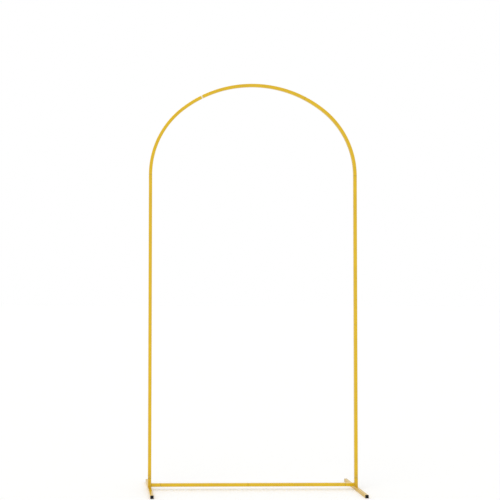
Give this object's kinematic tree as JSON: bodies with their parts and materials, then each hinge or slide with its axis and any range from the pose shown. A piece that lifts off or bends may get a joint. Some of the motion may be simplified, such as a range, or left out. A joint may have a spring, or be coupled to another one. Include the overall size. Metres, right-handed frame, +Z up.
{
  "type": "wedding arch",
  "caption": "Free-standing wedding arch of gold square steel tube with a curved top, a low cross bar and feet that run front to back, closed by black caps.",
  "frame": {"origin": "on the floor, midway between the two legs and midway along the feet", "axes": "+X across the arch towards the right leg as seen from the front, +Y from the front to the back, +Z up"},
  "size_m": [1.032, 0.4, 2],
  "materials": {
    "gold_paint": "satin gold paint on steel tube, smooth, without a strong highlight",
    "black_plastic": "moulded black polyethylene with a fine matt grain",
    "plain_steel": "bare drawn steel inside the tubes, which shows only in the open joint of the curved top",
    "screw_zinc": "yellow zinc plate on steel, slightly dull"
  },
  "bodies": {
    "root": {"left_foot_tube": "gold_paint", "right_foot_tube": "gold_paint", "left_post_stub": "gold_paint", "right_post_stub": "gold_paint", "left_bar_stub": "gold_paint", "right_bar_stub": "gold_paint", "left_bar_tube": "gold_paint", "right_bar_tube": "gold_paint", "left_lower_leg": "gold_paint", "right_lower_leg": "gold_paint", "left_upper_leg": "gold_paint", "right_upper_leg": "gold_paint", "left_haunch_tube": "gold_paint", "right_haunch_tube": "gold_paint", "crown_tube": "gold_paint", "left_front_foot_cap": "black_plastic", "left_rear_foot_cap": "black_plastic", "right_front_foot_cap": "black_plastic", "right_rear_foot_cap": "black_plastic", "left_base_sleeve": "plain_steel", "right_base_sleeve": "plain_steel", "left_bar_end_sleeve": "plain_steel", "right_bar_end_sleeve": "plain_steel", "left_leg_sleeve": "plain_steel", "right_leg_sleeve": "plain_steel", "left_shoulder_sleeve": "plain_steel", "right_shoulder_sleeve": "plain_steel", "left_crown_sleeve": "plain_steel", "right_crown_sleeve": "plain_steel", "bar_middle_sleeve": "plain_steel", "left_base_screw": "screw_zinc", "right_base_screw": "screw_zinc"}
  },
  "joints": []
}
